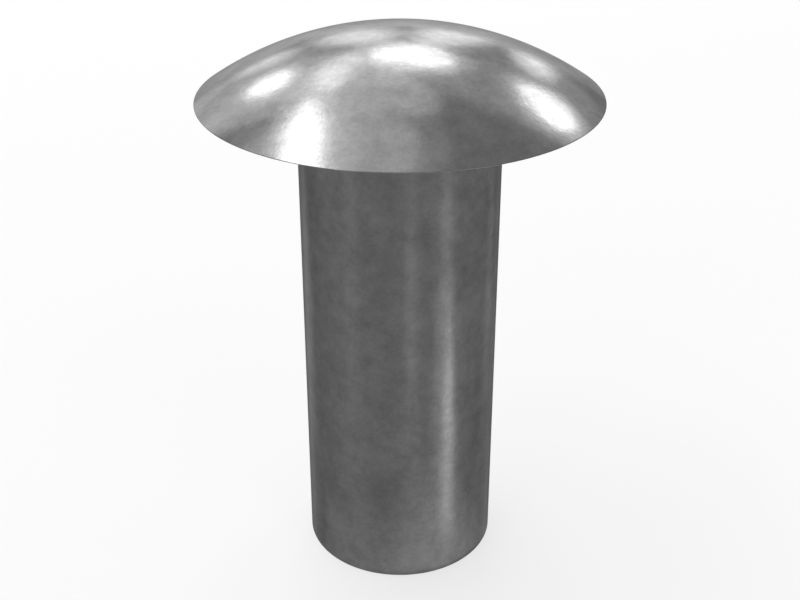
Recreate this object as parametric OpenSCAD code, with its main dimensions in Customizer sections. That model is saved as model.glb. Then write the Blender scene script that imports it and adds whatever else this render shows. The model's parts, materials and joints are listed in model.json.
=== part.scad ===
// Solid rivet with a low domed head and a plain round shank, headed from one length of wire.
// The rivet's axis is Z. Z = 0 is the flat end of the shank, and the head is on top.

/* [Shank] */
// Diameter of the shank
shank_d = 4.8; // [2.4:0.1:7.6]
// Length of the shank, from its flat end to the bearing face under the head
shank_l = 12.1; // [4:0.1:40]
// Radius that takes the sharpness off the edge of the flat end
end_round = 0.06; // [0.02:0.01:0.4]

/* [Head] */
// Diameter of the head, across its rim
head_d = 9.4; // [8.4:0.1:20]
// Height of the head, from its bearing face to the top of the crown
head_h = 1.48; // [1:0.01:3.6]
// Radius of the rim, where the crown turns under into the bearing face
rim_round = 0.02; // [0.02:0.01:0.2]
// Radius of the fillet in the corner between the shank and the bearing face
neck_fillet = 0.2; // [0.05:0.01:0.35]

/* [Hidden] */
$fn = 180;

shank_r = shank_d / 2;
head_r = head_d / 2;

// The rim's arc touches the bearing face and reaches the head's full diameter.
rim_centre = [head_r - rim_round, shank_l + rim_round];
// The crown is part of a sphere that runs into the rim's arc without a corner.
crown_r = (rim_centre.x ^ 2 + head_h ^ 2 - 2 * head_h * rim_round) / (2 * (head_h - 2 * rim_round));
crown_centre = [0, shank_l + head_h - crown_r];
// The line from the crown's centre through the rim's centre meets both arcs where they touch.
rim_direction = (rim_centre - crown_centre) / norm(rim_centre - crown_centre);

// Half section of the shank, with its rounded lower edge.
module shank_section() {
    translate([0, end_round])
        square([shank_r, shank_l - end_round]);
    square([shank_r - end_round, end_round]);
    translate([shank_r - end_round, end_round])
        circle(end_round);
}

// Half section of the fillet that fills the corner under the head.
module neck_section() {
    translate([shank_r, shank_l - neck_fillet])
        difference() {
            square(neck_fillet);
            translate([neck_fillet, 0])
                circle(neck_fillet);
        }
}

// Half section of the head. The outline keeps the crown above the bearing face, and ends the
// crown's arc where it touches the rim's arc. Its two upper points stand clear of the crown.
module head_section() {
    intersection() {
        translate(crown_centre)
            circle(crown_r);
        polygon([
            [0, shank_l],
            [rim_centre.x, shank_l],
            rim_centre,
            rim_centre + head_h * rim_direction,
            [0, shank_l + 2 * head_h],
        ]);
    }
    translate(rim_centre)
        circle(rim_round);
}

// The whole rivet is one piece of steel.
module rivet() {
    color("darkgray")
        rotate_extrude() {
            shank_section();
            neck_section();
            head_section();
        }
}

rivet();
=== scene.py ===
"""Looks of a solid steel rivet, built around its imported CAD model.

The rivet stands on the flat end of its shank, with its low domed head on top. Its outline is drawn
as one open chain of edges and spun about the axis, and its satin steel is made of shader nodes.
A pale floor, softboxes, low lamps on the floor and a camera complete the scene.

Lengths are in metres, angles in degrees where a field holds them, and a lamp's radiance is 1 where
its face is as bright as white under plain light.
"""

import json
import logging
import math
from collections.abc import Iterable
from dataclasses import dataclass, field
from enum import Enum

import bpy
from mathutils import Euler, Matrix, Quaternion, Vector

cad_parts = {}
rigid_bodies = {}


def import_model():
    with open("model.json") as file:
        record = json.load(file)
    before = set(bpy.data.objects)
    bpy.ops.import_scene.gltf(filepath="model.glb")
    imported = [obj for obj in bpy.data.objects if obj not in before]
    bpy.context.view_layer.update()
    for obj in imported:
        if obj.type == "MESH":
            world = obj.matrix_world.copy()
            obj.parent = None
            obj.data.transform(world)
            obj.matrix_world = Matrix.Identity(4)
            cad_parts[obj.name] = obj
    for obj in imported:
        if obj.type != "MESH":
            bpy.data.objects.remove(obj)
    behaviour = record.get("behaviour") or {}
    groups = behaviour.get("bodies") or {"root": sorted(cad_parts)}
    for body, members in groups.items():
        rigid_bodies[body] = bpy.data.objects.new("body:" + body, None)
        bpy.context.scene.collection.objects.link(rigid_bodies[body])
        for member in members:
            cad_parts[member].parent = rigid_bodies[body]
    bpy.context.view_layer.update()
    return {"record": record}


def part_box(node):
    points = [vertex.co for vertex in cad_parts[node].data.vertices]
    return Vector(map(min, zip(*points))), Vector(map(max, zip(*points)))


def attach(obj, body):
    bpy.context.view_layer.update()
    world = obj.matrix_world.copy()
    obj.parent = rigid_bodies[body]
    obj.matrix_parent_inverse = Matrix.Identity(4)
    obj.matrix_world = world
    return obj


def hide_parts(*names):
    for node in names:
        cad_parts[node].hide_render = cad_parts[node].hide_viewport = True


MM = 0.001
NODE = "rivet"
BODY = "root"
NOISE_MIDDLE = 0.5
Value = bpy.types.NodeSocket | float | tuple[float, ...]

log = logging.getLogger("rivet")


class Ramp(Enum):
    """How a value runs from one end of its range to the other."""

    STRAIGHT = "LINEAR"
    EASED = "SMOOTHSTEP"


class Diffuser(Enum):
    """How the face of a lamp glows."""

    EVEN = "just as bright all over"
    DEEP = "dimmer and dimmer towards its rim"
    THIN = "bright, with a wider and dimmer face around it"


def deselect_all() -> None:
    """Leave nothing selected, so that the next operator acts only on what it makes."""
    for item in bpy.context.view_layer.objects:
        item.select_set(False)
    bpy.context.view_layer.objects.active = None


@dataclass(frozen=True)
class Clouding:
    """One cloudy pattern of the steel's skin.

    Its size is the width of its largest patches. Detail says how many finer layers it holds, depth
    how strong each of them is against the one above, and twist how far all are pulled out of shape.
    """

    size: float
    strength: float
    detail: float
    depth: float = 0.5
    twist: float = 0.0


@dataclass
class NodeTree:
    """A short way to add and link the nodes of one material, of one lamp or of the world."""

    owner: bpy.types.Material | bpy.types.World | bpy.types.Light
    tree: bpy.types.NodeTree = field(init=False)

    def __post_init__(self) -> None:
        """Start from an empty tree."""
        self.owner.use_nodes = True
        self.tree = self.owner.node_tree
        self.tree.nodes.clear()

    def add(self, kind: str, **settings: object) -> bpy.types.Node:
        """Add a node.

        Args:
            kind: The node's type name, without its ShaderNode prefix.
            settings: Properties of the node, by name.

        Returns:
            The new node.
        """
        node = self.tree.nodes.new("ShaderNode" + kind)
        for name, value in settings.items():
            setattr(node, name, value)
        return node

    def link(self, source: bpy.types.NodeSocket, target: bpy.types.NodeSocket) -> None:
        """Link an output to an input."""
        self.tree.links.new(source, target)

    def fill(self, sockets: Iterable[bpy.types.NodeSocket], values: Iterable[Value]) -> None:
        """Give inputs their values.

        Args:
            sockets: The inputs.
            values: For each of them an output to link, or a constant.
        """
        for socket, value in zip(sockets, values):
            if isinstance(value, bpy.types.NodeSocket):
                self.link(value, socket)
            else:
                socket.default_value = value

    def math(self, operation: str, first: Value, second: Value = 0.0,
             third: Value = 0.0, clamp: bool = False) -> bpy.types.NodeSocket:
        """Add a Math node.

        Args:
            operation: The node's operation.
            first: Its first input, as a number or a socket.
            second: Its second input, as a number or a socket.
            third: Its third input, as a number or a socket.
            clamp: Whether the result is kept between 0 and 1.

        Returns:
            The socket that gives the result.
        """
        node = self.add("Math", operation=operation, use_clamp=clamp)
        self.fill(node.inputs, (first, second, third))
        return node.outputs["Value"]

    def vector_math(self, operation: str, *values: Value) -> bpy.types.Node:
        """Add a Vector Math node.

        Args:
            operation: The node's operation.
            values: Its inputs in turn, as vectors or sockets.

        Returns:
            The node, whose result is its Vector or its Value, by its operation.
        """
        node = self.add("VectorMath", operation=operation)
        self.fill(node.inputs, values)
        return node

    def span(self, value: bpy.types.NodeSocket, low: float, high: float, to_low: float, to_high: float,
             ramp: Ramp = Ramp.STRAIGHT) -> bpy.types.NodeSocket:
        """Map one range of values onto another, held at its ends.

        Args:
            value: What is mapped.
            low: Start of the range that it has.
            high: End of the range that it has.
            to_low: What the start becomes.
            to_high: What the end becomes.
            ramp: How it runs in between.

        Returns:
            The socket that gives the mapped value.
        """
        node = self.add("MapRange", clamp=True, interpolation_type=ramp.value)
        names = ("Value", "From Min", "From Max", "To Min", "To Max")
        self.fill((node.inputs[name] for name in names), (value, low, high, to_low, to_high))
        return node.outputs["Result"]

    def blend(self, share: bpy.types.NodeSocket, low: float, high: float) -> bpy.types.NodeSocket:
        """Run from low to high as the share runs from 0 to 1."""
        return self.math("MULTIPLY_ADD", share, high - low, low)

    def noise(self, place: bpy.types.NodeSocket, clouding: Clouding) -> bpy.types.NodeSocket:
        """Add a cloudy pattern.

        Args:
            place: The coordinates that it is laid out on.
            clouding: The pattern.

        Returns:
            The socket that gives the pattern, from 0 to 1 around its middle.
        """
        node = self.add("TexNoise")
        names = ("Vector", "Scale", "Detail", "Roughness", "Distortion")
        values = (place, 1.0 / clouding.size, clouding.detail, clouding.depth, clouding.twist)
        self.fill((node.inputs[name] for name in names), values)
        return node.outputs["Fac"]

    def swing(self, *parts: tuple[bpy.types.NodeSocket, Clouding]) -> bpy.types.NodeSocket:
        """Add cloudy patterns up into one value around zero.

        Args:
            parts: Each pattern, after the coordinates that it is laid out on.

        Returns:
            The socket that gives their sum, each of them at its strength.
        """
        total = -NOISE_MIDDLE * sum(clouding.strength for _, clouding in parts)
        for place, clouding in parts:
            total = self.math("MULTIPLY_ADD", self.noise(place, clouding), clouding.strength, total)
        return total


@dataclass(frozen=True)
class SatinSteel:
    """Grey wire-drawn steel with a satin sheen, clouded by handling, with painted shade on its shank.

    Above the bearing face the drawn skin of the shank turns into the crown's. The shank's lower
    reflectance is painted shade, which stands in for the dim surroundings that it mirrors. The haze is
    roughness that both gain at a glancing angle. The relief is counted in dimple heights, and the flow
    lines run outwards on the outer part of the head, which is given as shares of its radius.
    """

    bearing_z: float
    head_r: float
    name: str = "satin_steel"
    crown_rise: float = 0.025 * MM
    crown_reflectance: float = 0.30
    # The shank's reflectance is set below the crown's as painted shade.
    shaded_shank_reflectance: float = 0.112
    edge_reflectance: float = 0.46
    crown_roughness: float = 0.165
    drawn_roughness: float = 0.23
    crown_haze: float = 0.62
    drawn_haze: float = 0.32
    haze_from: float = 0.72
    haze_to: float = 0.95
    crown_contrast: float = 1.0
    drawn_contrast: float = 1.12
    clouds: Clouding = Clouding(size=2.2 * MM, strength=0.18, detail=2.0, twist=0.3)
    smudges: Clouding = Clouding(size=0.80 * MM, strength=0.56, detail=6.0)
    smudge_squash: float = 0.9
    spots: Clouding = Clouding(size=0.26 * MM, strength=0.30, detail=1.0)
    grain: Clouding = Clouding(size=0.08 * MM, strength=0.30, detail=2.0, depth=0.6)
    dulling: Clouding = Clouding(size=0.30 * MM, strength=0.10, detail=4.0)
    dimple_height: float = 0.0016 * MM
    dimples: Clouding = Clouding(size=0.22 * MM, strength=1.0, detail=3.0, depth=0.6)
    scratches: Clouding = Clouding(size=0.05 * MM, strength=0.32, detail=1.0)
    waves: Clouding = Clouding(size=0.8 * MM, strength=3.0, detail=1.0)
    flow: Clouding = Clouding(size=0.09 * MM, strength=0.3, detail=2.0, depth=0.6)
    flow_stretch: float = 5.0
    flow_from: float = 0.55
    flow_to: float = 0.8

    def material(self) -> bpy.types.Material:
        """Make the material.

        Returns:
            A metallic material whose colour, roughness and fine relief follow cloudy patterns.
        """
        nodes = NodeTree(bpy.data.materials.new(self.name))
        place = nodes.add("TexCoord").outputs["Object"]
        split = nodes.add("SeparateXYZ")
        nodes.link(place, split.inputs["Vector"])
        # Across the rim's turn the shank's painted shade fades into the crown's tone.
        head = nodes.span(split.outputs["Z"], self.bearing_z, self.bearing_z + self.crown_rise, 0.0, 1.0)
        shader = nodes.add("BsdfPrincipled", distribution="GGX")
        shader.inputs["Metallic"].default_value = 1.0
        shader.inputs["Specular Tint"].default_value = (self.edge_reflectance,) * 3 + (1.0,)
        grey = nodes.add("CombineColor")
        nodes.fill(grey.inputs, (self.tone(nodes, place, head),) * len(grey.inputs))
        nodes.link(grey.outputs["Color"], shader.inputs["Base Color"])
        nodes.link(self.dullness(nodes, place, head), shader.inputs["Roughness"])
        bump = nodes.add("Bump")
        bump.inputs["Distance"].default_value = self.dimple_height
        nodes.link(self.relief(nodes, place, head), bump.inputs["Height"])
        nodes.link(bump.outputs["Normal"], shader.inputs["Normal"])
        output = nodes.add("OutputMaterial")
        nodes.link(shader.outputs["BSDF"], output.inputs["Surface"])
        return nodes.owner

    def tone(self, nodes: NodeTree, place: bpy.types.NodeSocket,
             head: bpy.types.NodeSocket) -> bpy.types.NodeSocket:
        """Lay out how much light each spot reflects, darker on the shank as painted shade.

        Args:
            nodes: The material's nodes.
            place: Object coordinates.
            head: 1 on the crown and 0 on the shank and the bearing face.

        Returns:
            The socket that gives the reflectance.
        """
        squash = nodes.add("Mapping")
        squash.inputs["Scale"].default_value = (1.0, 1.0, self.smudge_squash)
        nodes.link(place, squash.inputs["Vector"])
        swing = nodes.swing((place, self.clouds), (squash.outputs["Vector"], self.smudges),
                            (place, self.spots), (place, self.grain))
        contrast = nodes.blend(head, self.drawn_contrast, self.crown_contrast)
        # The shank's lower level is painted shade, standing in for the dim surroundings that it mirrors.
        level = nodes.blend(head, self.shaded_shank_reflectance, self.crown_reflectance)
        return nodes.math("MULTIPLY_ADD", nodes.math("MULTIPLY", swing, contrast), level, level)

    def dullness(self, nodes: NodeTree, place: bpy.types.NodeSocket,
                 head: bpy.types.NodeSocket) -> bpy.types.NodeSocket:
        """Lay out how rough each spot is.

        Args:
            nodes: The material's nodes.
            place: Object coordinates.
            head: 1 on the crown and 0 on the shank and the bearing face.

        Returns:
            The socket that gives the roughness.
        """
        facing = nodes.add("LayerWeight").outputs["Facing"]
        grazing = nodes.span(facing, self.haze_from, self.haze_to, 0.0, 1.0, Ramp.EASED)
        haze = nodes.blend(head, self.drawn_haze, self.crown_haze)
        dull = nodes.math("ADD", nodes.blend(head, self.drawn_roughness, self.crown_roughness),
                          nodes.swing((place, self.dulling)))
        return nodes.math("MULTIPLY_ADD", grazing, haze, dull)

    def relief(self, nodes: NodeTree, place: bpy.types.NodeSocket,
               head: bpy.types.NodeSocket) -> bpy.types.NodeSocket:
        """Lay out the height of the skin: dimples, fine scratches, flow lines and a wavy shank.

        Args:
            nodes: The material's nodes.
            place: Object coordinates.
            head: 1 on the crown and 0 on the shank and the bearing face.

        Returns:
            The socket that gives the height, in dimple heights.
        """
        skin = nodes.swing((place, self.dimples), (place, self.scratches))
        shank = nodes.math("SUBTRACT", 1.0, head)
        skin = nodes.math("MULTIPLY_ADD", nodes.swing((place, self.waves)), shank, skin)
        return nodes.math("ADD", skin, self.flow_lines(nodes, place))

    def flow_lines(self, nodes: NodeTree, place: bpy.types.NodeSocket) -> bpy.types.NodeSocket:
        """Lay out the fine lines that run outwards on the head, left by the die that formed it.

        Args:
            nodes: The material's nodes.
            place: Object coordinates.

        Returns:
            The socket that gives their height, in dimple heights.
        """
        flat = nodes.vector_math("MULTIPLY", place, (1.0, 1.0, 0.0)).outputs["Vector"]
        radius = nodes.vector_math("LENGTH", flat).outputs["Value"]
        spoke = nodes.vector_math("NORMALIZE", flat).outputs["Vector"]
        ring = nodes.vector_math("SCALE", spoke)
        # The pattern lies on a ring as wide as the head, and creeps along each spoke.
        reach = nodes.math("MULTIPLY_ADD", radius, 1.0 / self.flow_stretch, self.head_r)
        nodes.link(reach, ring.inputs["Scale"])
        lines = nodes.swing((ring.outputs["Vector"], self.flow))
        outer = nodes.span(radius, self.flow_from * self.head_r, self.flow_to * self.head_r, 0.0, 1.0,
                           Ramp.EASED)
        return nodes.math("MULTIPLY", lines, outer)


@dataclass(frozen=True)
class PaleCard:
    """Matt white card that the rivet stands on, with a glow that keeps its shadows pale."""

    name: str = "pale_card"
    reflectance: float = 0.92
    glow_share: float = 0.7

    def material(self) -> bpy.types.Material:
        """Make the material.

        Returns:
            A matt white material, whose glow is seen but lights nothing.
        """
        nodes = NodeTree(bpy.data.materials.new(self.name))
        nodes.owner.cycles.emission_sampling = "NONE"
        card = nodes.add("BsdfDiffuse")
        card.inputs["Color"].default_value = (self.reflectance,) * 3 + (1.0,)
        ray = nodes.add("LightPath").outputs
        mirrored = nodes.math("ADD", ray["Is Glossy Ray"], ray["Is Transmission Ray"])
        seen = nodes.math("ADD", ray["Is Camera Ray"], mirrored, clamp=True)
        share = nodes.math("MULTIPLY", seen, self.glow_share)
        mix = nodes.add("MixShader")
        glow = nodes.add("Emission")
        nodes.fill(mix.inputs, (share, card.outputs["BSDF"], glow.outputs["Emission"]))
        output = nodes.add("OutputMaterial")
        nodes.link(mix.outputs["Shader"], output.inputs["Surface"])
        return nodes.owner


@dataclass
class OutlinePen:
    """Draws the rivet's half section in the XZ plane, as one open chain of edges."""

    name: str
    start: Vector
    piece: bpy.types.Object = field(init=False)
    tip: Vector = field(init=False)

    def __post_init__(self) -> None:
        """Make a mesh of one point at the start, and stay in edit mode."""
        deselect_all()
        bpy.ops.mesh.primitive_plane_add(size=MM, location=self.start)
        self.piece = bpy.context.object
        self.piece.name = self.name
        self.piece.data.name = self.name
        bpy.ops.object.transform_apply(location=True)
        bpy.ops.object.mode_set(mode="EDIT")
        bpy.ops.mesh.select_mode(type="VERT")
        bpy.ops.mesh.select_all(action="SELECT")
        bpy.ops.mesh.merge(type="CENTER")
        self.tip = self.start.copy()

    def line(self, end: Vector, steps: int) -> None:
        """Draw a straight stretch from the tip.

        Args:
            end: Where the stretch ends.
            steps: How many edges it has.
        """
        step = (end - self.tip) / steps
        for _ in range(steps):
            bpy.ops.mesh.extrude_region_move(TRANSFORM_OT_translate={"value": step})
        self.tip = end.copy()

    def arc(self, centre: Vector, angle: float, steps: int) -> None:
        """Draw an arc from the tip.

        Args:
            centre: The arc's centre.
            angle: How far it turns about +Y, in radians.
            steps: How many edges it has.
        """
        bpy.ops.mesh.spin(steps=steps, angle=-angle, center=centre, axis=(0.0, 1.0, 0.0))
        turn = self.tip - centre
        turned = Vector((turn.x * math.cos(angle) + turn.z * math.sin(angle), 0.0,
                         turn.z * math.cos(angle) - turn.x * math.sin(angle)))
        self.tip = centre + turned


@dataclass
class Rivet:
    """The rivet, headed from one length of wire: a round shank under a low domed head.

    The steps say into how many edges each stretch of its outline and its full turn are divided.
    """

    head_d: float
    total_h: float
    shank_d: float
    shank_l: float
    end_round: float = 0.06 * MM
    rim_round: float = 0.01 * MM
    rim_margin: float = 0.008 * MM
    neck_fillet: float = 0.2 * MM
    end_steps: int = 12
    end_round_steps: int = 6
    shank_steps: int = 90
    neck_steps: int = 8
    bearing_steps: int = 18
    rim_steps: int = 10
    crown_steps: int = 72
    turn_steps: int = 360
    weld: float = 0.0002 * MM

    @classmethod
    def from_frame(cls, record: dict) -> "Rivet":
        """Take the rivet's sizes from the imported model.

        Args:
            record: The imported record, which holds the mounts.

        Returns:
            A rivet of those sizes.
        """
        low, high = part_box(NODE)
        mounts = {mount["name"]: mount for mount in record["mounts"]}
        return cls(
            head_d=high.x - low.x,
            total_h=high.z - low.z,
            shank_d=2 * mounts["shank"]["dims"]["r_mm"] * MM,
            shank_l=mounts["bearing_face"]["pos_m"][2],
        )

    def outline(self) -> bpy.types.Object:
        """Draw the half section, from the middle of the flat end to the top of the crown.

        Returns:
            The object that holds it, in edit mode.
        """
        shank_r = self.shank_d / 2
        end_r = shank_r - self.end_round
        neck_z = self.shank_l - self.neck_fillet
        rim_centre = Vector((self.head_d / 2 - self.rim_round, 0.0, self.shank_l + self.rim_round))
        head_h = self.total_h - self.shank_l
        # The crown's arc goes through the top and runs into the rim's arc without a corner.
        crown_r = ((rim_centre.x ** 2 + head_h ** 2 - 2 * head_h * self.rim_round)
                   / (2 * (head_h - 2 * self.rim_round)))
        crown_centre = Vector((0.0, 0.0, self.total_h - crown_r))
        lean = math.atan2(rim_centre.x, rim_centre.z - crown_centre.z)
        quarter = math.pi / 2
        pen = OutlinePen(NODE + "_body", Vector((0.0, 0.0, 0.0)))
        pen.line(Vector((end_r, 0.0, 0.0)), self.end_steps)
        pen.arc(Vector((end_r, 0.0, self.end_round)), -quarter, self.end_round_steps)
        pen.line(Vector((shank_r, 0.0, neck_z)), self.shank_steps)
        pen.arc(Vector((shank_r + self.neck_fillet, 0.0, neck_z)), quarter, self.neck_steps)
        pen.line(Vector((rim_centre.x, 0.0, self.shank_l)), self.bearing_steps)
        pen.arc(rim_centre, lean - math.pi, self.rim_steps)
        # A narrow ring beside the rim keeps the rim's turn out of the crown's smooth shading.
        margin = self.rim_margin / crown_r
        pen.arc(crown_centre, -margin, 1)
        pen.arc(crown_centre, margin - lean, self.crown_steps)
        return pen.piece

    def turned(self) -> bpy.types.Object:
        """Spin the outline about the axis.

        Returns:
            The closed body, in object mode.
        """
        piece = self.outline()
        bpy.ops.mesh.select_all(action="SELECT")
        bpy.ops.mesh.spin(steps=self.turn_steps, angle=2 * math.pi, center=(0.0, 0.0, 0.0),
                          axis=(0.0, 0.0, 1.0))
        bpy.ops.mesh.select_all(action="SELECT")
        bpy.ops.mesh.remove_doubles(threshold=self.weld)
        bpy.ops.mesh.normals_make_consistent(inside=False)
        bpy.ops.object.mode_set(mode="OBJECT")
        bpy.ops.object.shade_smooth()
        return piece

    def build(self) -> bpy.types.Object:
        """Make the body and dress it in its steel.

        Returns:
            The finished piece, which rides with the rivet's body and stands for its CAD node.
        """
        piece = self.turned()
        steel = SatinSteel(bearing_z=self.shank_l, head_r=self.head_d / 2)
        piece.data.materials.append(steel.material())
        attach(piece, BODY)
        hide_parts(NODE)
        return piece


def fade(lamp: bpy.types.Light) -> None:
    """Make a lamp's face dim smoothly from its middle to its rim.

    Args:
        lamp: The lamp.
    """
    nodes = NodeTree(lamp)
    # Parametric runs from 0 to 1 across the face, and is drawn out to run from -1 to 1.
    across = nodes.add("NewGeometry").outputs["Parametric"]
    place = nodes.vector_math("MULTIPLY_ADD", across, (2.0, 2.0, 0.0), (-1.0, -1.0, 0.0)).outputs["Vector"]
    reach = nodes.vector_math("DOT_PRODUCT", place, place).outputs["Value"]
    glow = nodes.add("Emission")
    nodes.link(nodes.math("SUBTRACT", 1.0, reach, clamp=True), glow.inputs["Strength"])
    nodes.link(glow.outputs["Emission"], nodes.add("OutputLight").inputs["Surface"])


def area_lamp(name: str, size: tuple[float, float], radiance: float, place: Vector, turn: Euler,
              diffuser: Diffuser) -> bpy.types.Object:
    """Add one face of an elliptical lamp, which the camera doesn't see.

    Args:
        name: The face's name.
        size: Its width and height.
        radiance: How bright its middle is.
        place: Where its middle is.
        turn: How it is turned from facing straight down.
        diffuser: How it glows.

    Returns:
        The face's object.
    """
    width, height = size
    lamp = bpy.data.lights.new(name, "AREA")
    lamp.shape = "ELLIPSE"
    lamp.size, lamp.size_y = width, height
    lamp.energy = radiance * math.pi * (math.pi / 4 * width * height)
    if diffuser is Diffuser.DEEP:
        fade(lamp)
    item = bpy.data.objects.new(name, lamp)
    item.location = place
    item.rotation_euler = turn
    item.visible_camera = False
    bpy.context.scene.collection.objects.link(item)
    return item


@dataclass(frozen=True)
class Softbox:
    """A lamp that faces the rivet from one direction, with its width and height as angles.

    Its azimuth is counted from straight behind the rivet towards the right. The spill is the dimmer
    face of a thin diffuser, which hangs a little behind the bright one.
    """

    name: str
    azimuth: float
    elevation: float
    width: float
    height: float
    radiance: float
    roll: float = 0.0
    diffuser: Diffuser = Diffuser.EVEN
    spill_spread: float = 1.5
    spill_share: float = 0.16
    spill_gap: float = 5 * MM
    distance: float = 250 * MM
    target_z: float = 12 * MM

    def face(self, name: str, spread: float, radiance: float, distance: float) -> bpy.types.Object:
        """Hang one glowing face.

        Args:
            name: The face's name.
            spread: How many times wider than the softbox it is.
            radiance: How bright it is.
            distance: How far it is from what it faces.

        Returns:
            The face's object.
        """
        azimuth, elevation = math.radians(self.azimuth), math.radians(self.elevation)
        away = Vector((math.sin(azimuth) * math.cos(elevation), math.cos(azimuth) * math.cos(elevation),
                       math.sin(elevation)))
        turn = away.to_track_quat("Z", "Y") @ Quaternion((0.0, 0.0, 1.0), -math.radians(self.roll))
        width, height = (2 * distance * math.tan(math.radians(angle * spread) / 2)
                         for angle in (self.width, self.height))
        place = Vector((0.0, 0.0, self.target_z)) + away * distance
        return area_lamp(name, (width, height), radiance, place, turn.to_euler(), self.diffuser)

    def build(self) -> list[bpy.types.Object]:
        """Hang the softbox.

        Returns:
            Its bright face and, on a thin diffuser, the dim one around it.
        """
        faces = [self.face(self.name, 1.0, self.radiance, self.distance)]
        if self.diffuser is Diffuser.THIN:
            faces.append(self.face(self.name + "_spill", self.spill_spread, self.radiance * self.spill_share,
                                   self.distance + self.spill_gap))
        return faces


@dataclass(frozen=True)
class FloorStrip:
    """A long low lamp that lies on the floor and draws one upright band of light on the shank.

    Facing says where that band is: its angle about the shank, from the front towards the right.
    """

    name: str
    facing: float
    width: float
    radiance: float
    height: float
    start: float = 1.0 * MM
    length: float = 32 * MM

    def build(self, shank_r: float, eye: Vector) -> bpy.types.Object:
        """Lay the lamp where the shank mirrors it towards the eye.

        Args:
            shank_r: The shank's radius.
            eye: Where the camera stands.

        Returns:
            The lamp's object.
        """
        facing = math.radians(self.facing)
        outward = Vector((math.sin(facing), -math.cos(facing), 0.0))
        foot = outward * shank_r
        sight = Vector((foot.x - eye.x, foot.y - eye.y, 0.0)).normalized()
        along = sight - 2 * sight.dot(outward) * outward
        place = foot + along * (self.start + self.length / 2) + Vector((0.0, 0.0, self.height))
        turn = Euler((math.pi, 0.0, math.atan2(along.y, along.x)))
        return area_lamp(self.name, (self.length, self.width), self.radiance, place, turn, Diffuser.DEEP)


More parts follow.
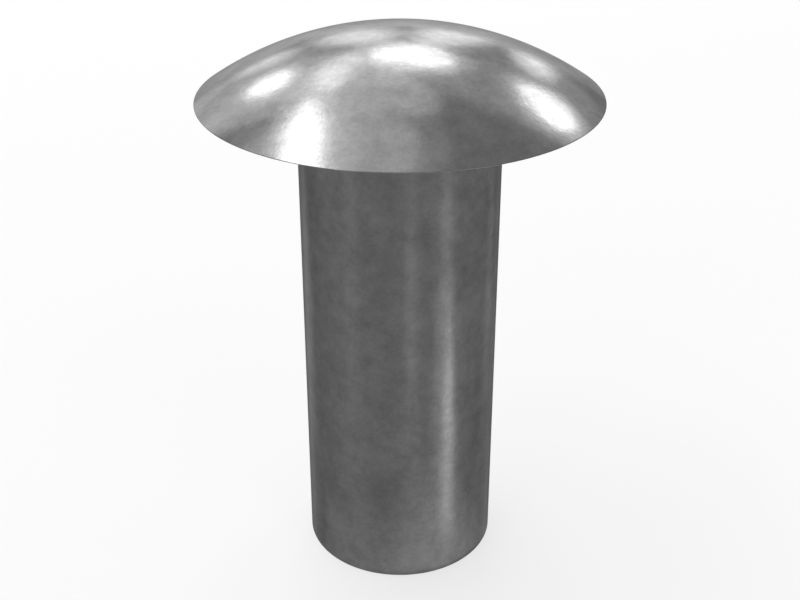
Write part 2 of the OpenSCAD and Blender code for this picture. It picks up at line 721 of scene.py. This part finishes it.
@dataclass
class Studio:
    """Floor, lamps, surrounding light and camera around a rivet with the given shank.

    The level multiplies the strength of every lamp and of the world. Lamps in the same plane would
    take light from each other, so each one on the floor has its own height. The camera looks down by
    its drop, and its lens and sensor are in millimetres.
    """

    shank_r: float
    floor_side: float = 4000 * MM
    level: float = 0.75
    world_front: float = 0.3
    world_back: float = 0.65
    world_turn: tuple[float, float] = (-0.7, 0.0)
    camera_place: Vector = field(default_factory=lambda: Vector((0.0, -28.11 * MM, 21.73 * MM)))
    camera_drop: float = 28.01
    camera_lens: float = 57.465
    camera_sensor: float = 36.0
    camera_range: tuple[float, float] = (1 * MM, 10000 * MM)
    lamps: tuple[Softbox, ...] = (
        Softbox("key", azimuth=-86, elevation=62, width=64, height=12, radiance=3.9, roll=2,
                diffuser=Diffuser.THIN),
        Softbox("key_side", azimuth=-53, elevation=70, width=46, height=12, radiance=0.38, roll=-35,
                diffuser=Diffuser.DEEP),
        Softbox("back_left", azimuth=-28, elevation=30, width=10, height=9, radiance=5.0, roll=-35,
                diffuser=Diffuser.THIN),
        Softbox("back", azimuth=3, elevation=36, width=17, height=14, radiance=4.5, roll=40,
                diffuser=Diffuser.THIN),
        Softbox("back_right", azimuth=38, elevation=34, width=17, height=12, radiance=4.5, roll=20,
                diffuser=Diffuser.THIN),
        Softbox("faint", azimuth=-16, elevation=40, width=22, height=8, radiance=1.6, roll=-60,
                diffuser=Diffuser.THIN),
        Softbox("upright_left", azimuth=-19, elevation=14, width=12, height=13, radiance=3.6, roll=-25,
                diffuser=Diffuser.DEEP),
        Softbox("upright_middle", azimuth=-6, elevation=16, width=15, height=24, radiance=4.3, roll=-5,
                diffuser=Diffuser.DEEP),
        Softbox("upright_right", azimuth=7, elevation=15, width=13, height=29, radiance=4.6, roll=5,
                diffuser=Diffuser.DEEP),
        Softbox("upright_far", azimuth=20, elevation=15, width=9, height=26, radiance=4.2, roll=-30,
                diffuser=Diffuser.DEEP),
        Softbox("wall", azimuth=-5, elevation=25, width=105, height=55, radiance=0.43, roll=25),
        Softbox("glow", azimuth=-36, elevation=21, width=115, height=30, radiance=0.82, roll=65),
        Softbox("top", azimuth=-65, elevation=67, width=54, height=38, radiance=0.55, roll=80,
                diffuser=Diffuser.THIN, spill_spread=1.3, spill_share=0.4),
        Softbox("low_left", azimuth=-26, elevation=7, width=24, height=18, radiance=0.9,
                diffuser=Diffuser.DEEP),
        Softbox("low_right", azimuth=28, elevation=8, width=40, height=32, radiance=0.33,
                diffuser=Diffuser.DEEP),
        Softbox("front", azimuth=180, elevation=22, width=120, height=34, radiance=0.6),
        Softbox("front_left", azimuth=-150, elevation=35, width=16, height=16, radiance=3.0),
        Softbox("front_right", azimuth=140, elevation=45, width=16, height=16, radiance=3.0),
    )
    strips: tuple[FloorStrip, ...] = (
        FloorStrip("strip_left_edge", facing=-67, width=8.0 * MM, radiance=1.25, height=0.04 * MM),
        FloorStrip("strip_left", facing=-28, width=7.0 * MM, radiance=0.4, height=0.06 * MM),
        FloorStrip("strip_middle", facing=6, width=5.0 * MM, radiance=0.7, height=0.08 * MM),
        FloorStrip("strip_streak", facing=26, width=7.0 * MM, radiance=1.1, height=0.10 * MM,
                   start=-1.0 * MM, length=36 * MM),
        FloorStrip("strip_streak_core", facing=29, width=2.4 * MM, radiance=3.0, height=0.12 * MM,
                   start=0.2 * MM, length=16 * MM),
        FloorStrip("strip_foot", facing=24, width=6.0 * MM, radiance=0.4, height=0.14 * MM,
                   start=-2.0 * MM, length=6.5 * MM),
        FloorStrip("strip_right_edge", facing=62, width=5.5 * MM, radiance=1.15, height=0.16 * MM),
    )
    foot_glow_r: float = 5.5 * MM
    foot_glow_radiance: float = 0.5
    foot_glow_height: float = 0.02 * MM

    def floor(self) -> bpy.types.Object:
        """Lay the floor that the rivet stands on.

        Returns:
            The floor.
        """
        deselect_all()
        bpy.ops.mesh.primitive_plane_add(size=self.floor_side)
        floor = bpy.context.object
        floor.name = "floor"
        floor.data.materials.append(PaleCard().material())
        return floor

    def world(self) -> bpy.types.World:
        """Fill the room with light, brighter behind the rivet than in front of it.

        Its strength turns from one to the other while a direction's Y runs over the world's turn.

        Returns:
            The world.
        """
        nodes = NodeTree(bpy.data.worlds.new("studio_air"))
        split = nodes.add("SeparateXYZ")
        nodes.link(nodes.add("TexCoord").outputs["Generated"], split.inputs["Vector"])
        strength = nodes.span(split.outputs["Y"], *self.world_turn, self.level * self.world_front,
                              self.level * self.world_back, Ramp.EASED)
        background = nodes.add("Background")
        nodes.link(strength, background.inputs["Strength"])
        output = nodes.add("OutputWorld")
        nodes.link(background.outputs["Background"], output.inputs["Surface"])
        bpy.context.scene.world = nodes.owner
        return nodes.owner

    def foot_glow(self) -> bpy.types.Object:
        """Lay a round lamp on the floor around the rivet's foot, shining upwards.

        Returns:
            The lamp's object.
        """
        side = 2 * self.foot_glow_r
        place = Vector((0.0, 0.0, self.foot_glow_height))
        turn = Euler((math.pi, 0.0, 0.0))
        return area_lamp("foot_glow", (side, side), self.foot_glow_radiance, place, turn, Diffuser.DEEP)

    def camera(self) -> bpy.types.Object:
        """Set up the camera.

        Returns:
            The camera, which is also made the scene's own.
        """
        data = bpy.data.cameras.new("camera")
        data.lens = self.camera_lens
        data.sensor_width = self.camera_sensor
        data.clip_start, data.clip_end = self.camera_range
        item = bpy.data.objects.new("camera", data)
        item.location = self.camera_place
        item.rotation_euler = (math.radians(90.0 - self.camera_drop), 0.0, 0.0)
        bpy.context.scene.collection.objects.link(item)
        bpy.context.scene.camera = item
        return item

    def build(self) -> list[bpy.types.Object]:
        """Build the studio.

        Returns:
            Its floor, lamps and camera.
        """
        self.world()
        bpy.context.scene.view_settings.view_transform = "Standard"
        lamps = [face for softbox in self.lamps for face in softbox.build()]
        lamps += [strip.build(self.shank_r, self.camera_place) for strip in self.strips]
        lamps.append(self.foot_glow())
        for lamp in lamps:
            lamp.data.energy *= self.level
        return [self.floor(), *lamps, self.camera()]


def main() -> None:
    """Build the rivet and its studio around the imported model."""
    logging.basicConfig(level=logging.INFO, format="%(name)s: %(message)s")
    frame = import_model()
    rivet = Rivet.from_frame(frame["record"])
    piece = rivet.build()
    log.info("%s has %d faces", piece.name, len(piece.data.polygons))
    for item in Studio(shank_r=rivet.shank_d / 2).build():
        log.info("%s is in the studio", item.name)


if __name__ == "__main__":
    main()
